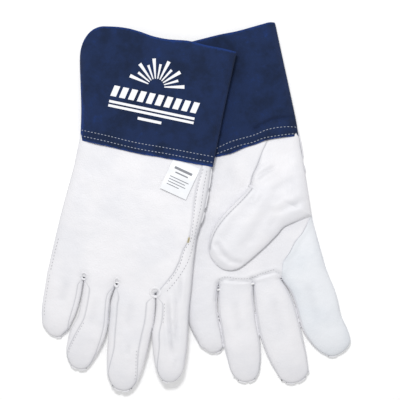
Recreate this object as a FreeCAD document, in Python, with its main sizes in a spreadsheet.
"""A pair of gauntlet-cuffed welding gloves, lying as a pair on a flat surface.

Both gloves are sewn from one pattern. The left glove lies palm up on the surface. The right glove lies
back up, with its index side resting on the left glove's edge, so it is tilted a little.

Each glove is a set of thin leather shells. A tube (cuff, hand or finger) has a flat half, on which it lies,
and a domed half. Each half is a loft of ellipses with a second loft, one leather thickness smaller, cut out
of it. The tube is then divided along the real seams into its sewn panels. All sizes are in millimetres and
live in the spreadsheet "Dims".

The pattern frame: X runs across the hand to the index side, Y runs up the arm, Z is the glove's thickness,
with the seams of the two cuff panels at zero. The wrist, where the cuff's raw edge laps over the hand, is at
Y = 0. The back of the right glove and the palm of the left one are the domed halves.
"""

import FreeCAD
import Part
import Sketcher

import os

from FreeCAD import Placement, Rotation, Vector

doc = FreeCAD.newDocument("WeldingGloves")

# ---------------------------------------------------------------- driving dimensions
sheet = doc.addObject("Spreadsheet::Sheet", "Dims")
row_count = 0


def dimensions(**values):
    """Writes driving dimensions into the sheet, one row each, and names their cells."""
    global row_count
    for alias, value in values.items():
        row_count += 1
        sheet.set(f"A{row_count}", alias)
        sheet.set(f"B{row_count}", str(value))
        sheet.setAlias(f"B{row_count}", alias)


# leather and thread
dimensions(LeatherWall=1.2, CuffWall=1.4, ThreadRise=0.5, ThreadWidth=0.9)
# the cuff: its mouth, the slant of its edges in each glove, and its two rows of stitches
dimensions(CuffLength=111, CuffWristHalf=66, CuffMouthHalf=74, CuffDome=8.2, CuffFlat=3.7, CuffCornerRadius=34,
           RightCuffSlant=-5.6, LeftCuffSlant=-1, RightCuffShift=1.5, LeftCuffShift=-2.5,
           StitchRowLow=3.2, StitchRowHigh=9)
# the hand tube: half width and centre at four stations down the hand, and how far it runs into the cuff
dimensions(HandDome=6.6, HandFlat=2.1, HandLap=12)
dimensions(WristDrop=0, WristHalf=64.2, WristShift=-0.2)
dimensions(HeelDrop=45, HeelHalf=66.2, HeelShift=-5.2)
dimensions(PalmDrop=90, PalmHalf=67.3, PalmShift=-10.8)
dimensions(KnuckleDrop=140, KnuckleHalf=69.4, KnuckleShift=-13)
# the knuckle line: where it crosses X = 0, its slope, and the gap left for the leather to fold
dimensions(KnuckleLine=126.5, KnuckleSlope=-4.86, FoldGap=0.8)
# how deep the fourchettes reach in from a finger's edge, and how low a finger's flat half is
dimensions(FourchetteLip=5, FingerFlat=0.42)
# how much further the index finger of the left glove leans out
dimensions(RightIndexSplay=0, LeftIndexSplay=2.4)
# the little closing pieces at the crotches between the fingers
dimensions(GussetHalf=1.6, GussetDepth=1.4, GussetSetback=0.2)
# where the two gloves lie: turn in plan, wrist centres and heights, and the upper glove's tilt and pitch
dimensions(LeftTurn=15, LeftX=36.3, LeftY=49.6, LeftRaise=3.5)
dimensions(RightTurn=-6, RightTilt=5.7, RightPitch=1.2, RightX=-46.5, RightY=49.6, RightRaise=13.6)
# the thumbs: the left one lies folded over the palm, the right one flat under its palm
dimensions(LeftThumbX=30.2, LeftThumbDrop=52, LeftThumbLean=-57.2, LeftThumbPress=1, LeftThumbRaise=15.6,
           ThumbFoldSlope=-39.8, ThumbFoldGap=2)
dimensions(RightThumbX=4.5, RightThumbDrop=52, RightThumbLean=-1, RightThumbPress=0.8, RightThumbRaise=3.9)
# the woven label that hangs from under the right cuff's edge
dimensions(LabelWidth=27, LabelLength=32, LabelThickness=0.4, LabelEdgeRise=3.2)
dimensions(LabelTurn=-19, LabelX=41.2, LabelDrop=6.4, LabelRaise=7.7, LabelTilt=5.2)

# a finger's base centre, its lean in degrees, then (distance, half width, half thickness) down the finger
FINGERS = {
    "Little": (-65, 121, -3.7, [(-8, 16, 6.8), (0, 16, 6.9), (22, 16.4, 7), (39, 16, 6.8), (53, 12, 5.6),
                                (60, 4.5, 3.4)]),
    "Ring": (-30.4, 123.5, -7.6, [(-8, 14, 7), (0, 14.4, 7.1), (37, 15.3, 7.2), (66, 15.6, 6.8), (80, 12, 5.6),
                                  (88.5, 4.6, 3.4)]),
    "Middle": (2.6, 126.5, -2.8, [(-8, 14.8, 7.2), (0, 15.4, 7.3), (33, 18.9, 7.4), (66, 18.4, 7),
                                  (88, 13.4, 5.8), (98.5, 5.2, 3.5)]),
    "Index": (39.6, 129.3, 2.2, [(-8, 16, 7.1), (0, 16.6, 7.2), (30, 17.6, 7.3), (60, 17.2, 6.9), (75, 13, 5.6),
                                 (82.8, 4.8, 3.4)]),
    "Thumb": (0, 0, 0, [(2, 25, 2.6), (12, 25.5, 4), (30, 25, 4.3), (50, 23.5, 4.3), (70, 19, 4), (81, 9.5, 2.8)]),
}
for finger, (base_x, base_drop, lean, stations) in FINGERS.items():
    dimensions(**{finger + "BaseX": base_x, finger + "BaseDrop": base_drop, finger + "Lean": lean})
    for number, (along, half, rise) in enumerate(stations):
        dimensions(**{f"{finger}Along{number}n": along, f"{finger}Half{number}n": half,
                      f"{finger}Rise{number}n": rise})
doc.recompute()


def dim(alias):
    """A driving dimension's value."""
    return float(getattr(sheet, alias))


# ---------------------------------------------------------------- building blocks
BIG = 400.0  # past any part of a glove


def add(kind, name, **properties):
    """Adds a document object and sets its plain properties."""
    thing = doc.addObject(kind, name)
    for key, value in properties.items():
        setattr(thing, key, value)
    return thing


def loft(name, stations, shrink="0", slant=0.0):
    """A solid through flat ellipses, with straight sides between them.

    stations are (half width, rise, centre X, Y) as expressions. Every ellipse is smaller by shrink, and turned
    in plan by slant degrees.
    """
    ovals = []
    for number, (half, rise, shift, along) in enumerate(stations):
        oval = add("Part::Ellipse", f"{name}Oval{number}n")
        oval.Placement = Placement(Vector(0, 0, 0), Rotation(Vector(0, 0, 1), slant).multiply(
            Rotation(Vector(1, 0, 0), 90)))
        oval.setExpression("MajorRadius", f"{half} - {shrink}")
        oval.setExpression("MinorRadius", f"{rise} - {shrink}")
        oval.setExpression("Placement.Base.x", shift)
        oval.setExpression("Placement.Base.y", along)
        ovals.append(oval)
    return add("Part::Loft", name, Sections=ovals, Solid=True, Ruled=True)


def box(name, low, high, turn=0.0, about=(0, 0, 0)):
    """A cutting box between two corners, turned in plan about a point."""
    block = add("Part::Box", name, Length=high[0] - low[0], Width=high[1] - low[1], Height=high[2] - low[2])
    swing = Rotation(Vector(0, 0, 1), turn)
    block.Placement = Placement(Vector(*about) + swing.multVec(Vector(*low)), swing)
    return block


def half_space(name, up, low_x=-BIG, high_x=BIG):
    """A box over everything above or below the seam plane, between two X values."""
    return box(name, (low_x, -BIG, 0 if up else -BIG), (high_x, BIG, BIG if up else 0))


def cut(name, base, tool):
    """base without tool."""
    return add("Part::Cut", name, Base=base, Tool=tool)


def common(name, base, tool):
    """The part of base inside tool."""
    return add("Part::Common", name, Base=base, Tool=tool)


def prism(name, corners, low, high):
    """A region bounded by seams in plan, through a range of heights."""
    sketch = add("Sketcher::SketchObject", name + "Outline")
    sketch.Placement = Placement(Vector(0, 0, low), Rotation())
    for start, end in zip(corners, corners[1:] + corners[:1]):
        sketch.addGeometry(Part.LineSegment(Vector(*start, 0), Vector(*end, 0)), False)
    return add("Part::Extrusion", name, Base=sketch, Dir=Vector(0, 0, 1), DirMode="Custom",
               LengthFwd=high - low, Solid=True)


def flattened_tube(name, wall, dome_stations, flat_stations, slant=0.0, inner=lambda stations: stations):
    """A leather tube with a domed upper half and a flat lower half. Returns its shell and its hollow.

    inner changes the stations of the hollow, as at a closed tip.
    """
    shells, hollows = [], []
    for half, stations in (("Dome", dome_stations), ("Flat", flat_stations)):
        outer = loft(f"{name}{half}Outer", stations, "0", slant)
        hollow = loft(f"{name}{half}Hollow", inner(stations), wall, slant)
        shell = cut(f"{name}{half}Shell", outer, hollow)
        shells.append(common(f"{name}{half}Part", shell, half_space(f"{name}{half}Side", half == "Dome")))
        hollows.append(common(f"{name}{half}Void", hollow, half_space(f"{name}{half}VoidSide", half == "Dome")))
    fused = [add("Part::Fuse", name + word, Base=pair[0], Tool=pair[1])
             for word, pair in (("Tube", shells), ("Void", hollows))]
    return fused


subparts = []


def subpart(thing, label, placement):
    """Names a finished piece and sets it where it lies."""
    thing.Label = label
    thing.Placement = placement
    subparts.append(thing)
    return thing


# ---------------------------------------------------------------- where the gloves lie
right_swing = Rotation(Vector(0, 0, 1), dim("RightTurn")).multiply(
    Rotation(Vector(0, 1, 0), -dim("RightTilt"))).multiply(Rotation(Vector(1, 0, 0), dim("RightPitch")))
left_swing = Rotation(Vector(0, 0, 1), dim("LeftTurn"))
lies = {
    "right": Placement(Vector(dim("RightX"), dim("RightY"), dim("RightRaise")), right_swing),
    "left": Placement(Vector(dim("LeftX"), dim("LeftY"), dim("LeftRaise")), left_swing),
}
PREFIX = {"right": "Right", "left": "Left"}
back_is_up = {"right": True, "left": False}

# ---------------------------------------------------------------- cuffs
def cuff_stations(side, rise, grow="0"):
    """The cuff's ellipses at the wrist and at the mouth."""
    return [(f"Dims.CuffWristHalf + {grow}", f"Dims.{rise} + {grow}", "Dims.WristShift", "0"),
            (f"Dims.CuffMouthHalf + {grow}", f"Dims.{rise} + {grow}", f"Dims.{PREFIX[side]}CuffShift",
             "Dims.CuffLength")]


def corner_cutter(name, side):
    """What is cut from a cuff panel to round its outer corner at the mouth."""
    radius = dim("CuffCornerRadius")
    corner_x = dim(PREFIX[side] + "CuffShift") - dim("CuffMouthHalf")
    swing = Rotation(Vector(0, 0, 1), dim(PREFIX[side] + "CuffSlant"))
    mouth_centre = Vector(dim(PREFIX[side] + "CuffShift"), dim("CuffLength"), 0)
    centre = mouth_centre + swing.multVec(Vector(corner_x + radius - mouth_centre.x, -radius, 0))
    block = box(name + "Block", (-2 * radius, 0, -BIG), (0, 2 * radius, BIG), 0, tuple(centre))
    round_off = add("Part::Cylinder", name + "Round", Radius=radius, Height=2 * BIG)
    round_off.Placement = Placement(Vector(centre.x, centre.y, -BIG), Rotation())
    return cut(name, block, round_off)


floor_cut = {"left": box("BelowFloor", (-BIG, -BIG, -BIG), (BIG, BIG, -dim("LeftRaise")))}


def above_floor(side, name, piece):
    """The left glove is pressed flat where it lies on the surface."""
    return cut(name, piece, floor_cut[side]) if side in floor_cut else piece


for side in PREFIX:
    slant = dim(PREFIX[side] + "CuffSlant")
    shell, _ = flattened_tube(f"{side}Cuff", "Dims.CuffWall", cuff_stations(side, "CuffDome"),
                              cuff_stations(side, "CuffFlat"), slant)
    up = back_is_up[side]
    back = common(f"{side}CuffBackWhole", shell, half_space(f"{side}CuffBackSide", up))
    back = cut(f"{side}CuffBack", back, corner_cutter(f"{side}CuffCorner", side))
    palm = common(f"{side}CuffPalm", shell, half_space(f"{side}CuffPalmSide", not up))
    subpart(above_floor(side, f"{side}CuffBackFlat", back), f"{side}_cuff_back", lies[side])
    subpart(palm, f"{side}_cuff_palm", lies[side])
    # the thread lies on the outside of the cuff: a skin one thread thick, kept along the two rows
    skin, _ = flattened_tube(f"{side}Thread", "Dims.ThreadRise", cuff_stations(side, "CuffDome", "Dims.ThreadRise"),
                             cuff_stations(side, "CuffFlat", "Dims.ThreadRise"), slant)
    rows = [common(f"{side}{row}Ring", skin, box(f"{side}{row}Slab", (-BIG, dim(row), -BIG),
                                                  (BIG, dim(row) + dim("ThreadWidth"), BIG), slant))
            for row in ("StitchRowLow", "StitchRowHigh")]
    rows = [above_floor(side, f"{side}Row{number}Flat", row) for number, row in enumerate(rows)]
    subpart(add("Part::Compound", f"{side}StitchRows", Links=rows), f"{side}_cuff_stitching", lies[side])

# ---------------------------------------------------------------- hand panels
def hand_stations(rise):
    """The hand's ellipses, from inside the cuff to past the knuckles."""
    rows = [("Wrist", "Dims.HandLap")] + [(place, f"-Dims.{place}Drop") for place in
                                          ("Wrist", "Heel", "Palm", "Knuckle")]
    return [(f"Dims.{place}Half", f"Dims.{rise}", f"Dims.{place}Shift", along) for place, along in rows]


hand_tube, hand_hollow = flattened_tube("Hand", "Dims.LeatherWall", hand_stations("HandDome"),
                                        hand_stations("HandFlat"))
knuckle_turn = dim("KnuckleSlope")
knuckle_point = (0, -dim("KnuckleLine"), 0)
beyond_knuckles = box("BeyondKnuckles", (-BIG, -BIG, -BIG), (BIG, 0, BIG), knuckle_turn, knuckle_point)
hand_shell = cut("HandShell", hand_tube, beyond_knuckles)

# the back panel ends at a lapped seam inside the index edge, which turns in to the middle-index crotch
back_seam = [(58, 20), (50.5, -34), (48.5, -58), (50, -77), (43, -99), (34, -116), (27, -127), (20, -140),
             (-120, -140), (-120, 20)]
# on the palm, the thumb's wing meets the palm panel along a seam from the cuff to the thumb's fold
wing_seam = [(38, 20), (34, 4), (20, -17), (7, -34), (56, -76)]
index_seam = [(56, -76), (46, -89), (36, -97), (27, -108), (20, -127), (17, -140)]
palm_outline = wing_seam + index_seam[1:] + [(-120, -140), (-120, 20)]
wing_outline = wing_seam + [(90, -76), (90, 20)]
index_outline = index_seam + [(90, -140), (90, -76)]
# round on the back, the wing and the index piece share the strip outside the lapped seam
wing_strip = [(30, 20), (30, -76), (90, -76), (90, 20)]
index_strip = [(10, -76), (10, -140), (90, -140), (90, -76)]
THICK = 20  # past a tube's half thickness

for side in PREFIX:
    back_half, palm_half = ((0, THICK), (-THICK, 0)) if back_is_up[side] else ((-THICK, 0), (0, THICK))
    back_region = prism(f"{side}BackRegion", back_seam, *back_half)
    subpart(common(f"{side}BackPanel", hand_shell, back_region), f"{side}_back_panel", lies[side])
    palm_region = prism(f"{side}PalmRegion", palm_outline, *palm_half)
    subpart(common(f"{side}PalmPanel", hand_shell, palm_region), f"{side}_palm_panel", lies[side])
    rest = cut(f"{side}NotBack", hand_shell, back_region)
    for word, on_palm, on_back in (("thumb_wing", wing_outline, wing_strip),
                                   ("index_base", index_outline, index_strip)):
        region = add("Part::Fuse", f"{side}{word}Region",
                     Base=prism(f"{side}{word}OnPalm", on_palm, *palm_half),
                     Tool=prism(f"{side}{word}OnBack", on_back, *back_half))
        subpart(common(f"{side}{word}", rest, region), f"{side}_{word}", lies[side])

# ---------------------------------------------------------------- crotch gussets
CROTCHES = {"LittleRing": -46.5, "RingMiddle": -14, "MiddleIndex": 20.5}
for side in PREFIX:
    closers = []
    for crotch, x in CROTCHES.items():
        low = (x - dim("GussetHalf"), dim("GussetSetback"), -BIG)
        high = (x + dim("GussetHalf"), dim("GussetSetback") + dim("GussetDepth"), BIG)
        slab = box(f"{side}{crotch}Slab", low, high, knuckle_turn, knuckle_point)
        closers.append(common(f"{side}{crotch}Gusset", hand_hollow, slab))
    subpart(add("Part::Compound", f"{side}Gussets", Links=closers), f"{side}_crotch_gussets", lies[side])


# ---------------------------------------------------------------- fingers
def finger_stations(finger, share):
    """A finger's ellipses down its own -Y, with a share of its rise."""
    return [(f"Dims.{finger}Half{n}n", f"Dims.{finger}Rise{n}n * {share}", "0", f"-Dims.{finger}Along{n}n")
            for n in range(len(FINGERS[finger][3]))]


def closed_tip(stations):
    """The hollow starts past the open end and stops one wall short of the tip."""
    first, *middle, last = stations
    return [(*first[:3], first[3] + " + 1")] + middle + [(*last[:3], last[3] + " + Dims.LeatherWall")]


def own_frame(finger, side):
    """From a finger's own frame to the pattern frame."""
    splay = dim(PREFIX[side] + "IndexSplay") if finger == "Index" else 0
    return Placement(Vector(dim(finger + "BaseX"), -dim(finger + "BaseDrop"), 0),
                     Rotation(Vector(0, 0, 1), dim(finger + "Lean") + splay))


# which sides of each finger carry a fourchette, and the finger next to it there
FOURCHETTES = {
    "Little": {"right": "ring"},
    "Ring": {"left": "little", "right": "middle"},
    "Middle": {"left": "ring", "right": "index"},
    "Index": {"left": "middle"},
}
for finger, forks in FOURCHETTES.items():
    word = finger.lower()
    tube, _ = flattened_tube(finger, "Dims.LeatherWall", finger_stations(finger, "1"),
                             finger_stations(finger, "Dims.FingerFlat"), inner=closed_tip)
    inset = dim(finger + "Half2n") - dim("FourchetteLip")
    low_x = -inset if "left" in forks else -BIG
    high_x = inset if "right" in forks else BIG
    for side in PREFIX:
        frame = own_frame(finger, side)
        knuckle_here = frame.inverse()
        behind_fold = box(f"{side}{finger}BehindFold", (-BIG, -dim("FoldGap"), -BIG), (BIG, BIG, BIG),
                          knuckle_turn - frame.Rotation.toEulerAngles("ZYX")[0],
                          tuple(knuckle_here.multVec(Vector(*knuckle_point))))
        shell = cut(f"{side}{finger}Shell", tube, behind_fold)
        place = lies[side].multiply(frame)
        for edge, neighbour in forks.items():
            reach = (-BIG, -inset) if edge == "left" else (inset, BIG)
            region = box(f"{side}{finger}{edge}ForkRegion", (reach[0], -BIG, -BIG), (reach[1], BIG, BIG))
            subpart(common(f"{side}{finger}{edge}Fork", shell, region),
                    f"{side}_{word}_fourchette_{neighbour}_side", place)
        if finger == "Index":
            region = box(f"{side}IndexWrapRegion", (low_x, -BIG, -BIG), (high_x, BIG, BIG))
            subpart(common(f"{side}IndexWrap", shell, region), f"{side}_index_wrap", place)
            continue
        for face, up in (("back", back_is_up[side]), ("front", not back_is_up[side])):
            region = half_space(f"{side}{finger}{face}Region", up, low_x, high_x)
            subpart(common(f"{side}{finger}{face}", shell, region), f"{side}_{word}_{face}", place)

# ---------------------------------------------------------------- thumbs
# the left thumb's open end is cut along the fold, where it turns over on to the palm
for side in PREFIX:
    prefix = PREFIX[side]
    stations = finger_stations("Thumb", f"Dims.{prefix}ThumbPress")
    shell = cut(f"{side}Thumb", loft(f"{side}ThumbOuter", stations),
                loft(f"{side}ThumbHollow", closed_tip(stations), "Dims.LeatherWall"))
    lean = dim(prefix + "ThumbLean")
    if side == "left":
        shell = cut("leftThumbTrimmed", shell, box("leftThumbBehindFold", (-BIG, -dim("ThumbFoldGap"), -BIG),
                                                   (BIG, BIG, BIG), dim("ThumbFoldSlope") - lean))
    wrist = Placement(lies[side].Base, Rotation(Vector(0, 0, 1), dim(prefix + "Turn")))
    place = wrist.multiply(Placement(Vector(dim(prefix + "ThumbX"), -dim(prefix + "ThumbDrop"), 0),
                                     Rotation(Vector(0, 0, 1), lean)))
    place.Base = Vector(place.Base.x, place.Base.y, dim(prefix + "ThumbRaise"))
    # the outer half faces away from the palm: up on the left glove, down on the right one
    for face, up in (("outer", side == "left"), ("inner", side == "right")):
        region = half_space(f"{side}Thumb{face}Region", up)
        subpart(common(f"{side}Thumb{face}", shell, region), f"{side}_thumb_{face}", place)

# ---------------------------------------------------------------- label
label_body = doc.addObject("PartDesign::Body", "LabelBody")
label_sketch = label_body.newObject("Sketcher::SketchObject", "LabelOutline")
flat_plane = [plane for plane in label_body.Origin.OriginFeatures if plane.Role == "XY_Plane"][0]
label_sketch.AttachmentSupport = [(flat_plane, "")]
label_sketch.MapMode = "FlatFace"
half_label = dim("LabelWidth") / 2
label_corners = [Vector(-half_label, 0, 0), Vector(half_label, 0, 0), Vector(half_label, -dim("LabelLength"), 0),
                 Vector(-half_label, -dim("LabelLength"), 0)]
for start, end in zip(label_corners, label_corners[1:] + label_corners[:1]):
    label_sketch.addGeometry(Part.LineSegment(start, end), False)
TOP, RIGHT_SIDE, BOTTOM, LEFT_SIDE = range(4)
for edge in (TOP, RIGHT_SIDE, BOTTOM, LEFT_SIDE):
    label_sketch.addConstraint(Sketcher.Constraint("Coincident", edge, 2, (edge + 1) % 4, 1))
for edge in (RIGHT_SIDE, LEFT_SIDE):
    label_sketch.addConstraint(Sketcher.Constraint("Vertical", edge))
label_sketch.addConstraint(Sketcher.Constraint("Symmetric", BOTTOM, 1, BOTTOM, 2, -2))
rules = {
    "Dims.LabelWidth": Sketcher.Constraint("Distance", BOTTOM, 2 * half_label),
    "Dims.LabelLength": Sketcher.Constraint("DistanceY", BOTTOM, 1, -1, 1, dim("LabelLength")),
    "Dims.LabelLength + Dims.LabelEdgeRise": Sketcher.Constraint("Distance", RIGHT_SIDE, dim("LabelLength")),
    "Dims.LabelLength - Dims.LabelEdgeRise": Sketcher.Constraint("Distance", LEFT_SIDE, dim("LabelLength")),
}
for expression, rule in rules.items():
    label_sketch.setExpression(f"Constraints[{label_sketch.addConstraint(rule)}]", expression)
label_pad = label_body.newObject("PartDesign::Pad", "LabelPad")
label_pad.Profile = label_sketch
label_pad.setExpression("Length", "Dims.LabelThickness")
label_place = Placement(Vector(dim("LabelX"), -dim("LabelDrop"), dim("LabelRaise")),
                        Rotation(Vector(0, 0, 1), dim("LabelTurn")).multiply(
                            Rotation(Vector(0, 1, 0), dim("LabelTilt"))))
subpart(label_body, "right_care_label", lies["right"].multiply(label_place))

# ---------------------------------------------------------------- build, check and write
doc.recompute()
for thing in doc.Objects:
    troubled = [word for word in thing.State if word in ("Invalid", "Error")]
    if troubled:
        raise RuntimeError(f"{thing.Name} ({thing.Label}) did not build: {troubled}")

os.makedirs("parts", exist_ok=True)
for old in os.listdir("parts"):
    os.remove(os.path.join("parts", old))
for thing in subparts:
    shape = thing.Shape
    if shape.isNull() or not shape.isValid() or not shape.Solids:
        raise RuntimeError(f"{thing.Label} has no valid solid")
    shape.exportStep(os.path.join("parts", thing.Label + ".step"))
    print(f"{thing.Label:38s} {len(shape.Solids)} solid(s) {shape.Volume / 1000:7.2f} cm3")
print(f"{len(subparts)} sub-parts")
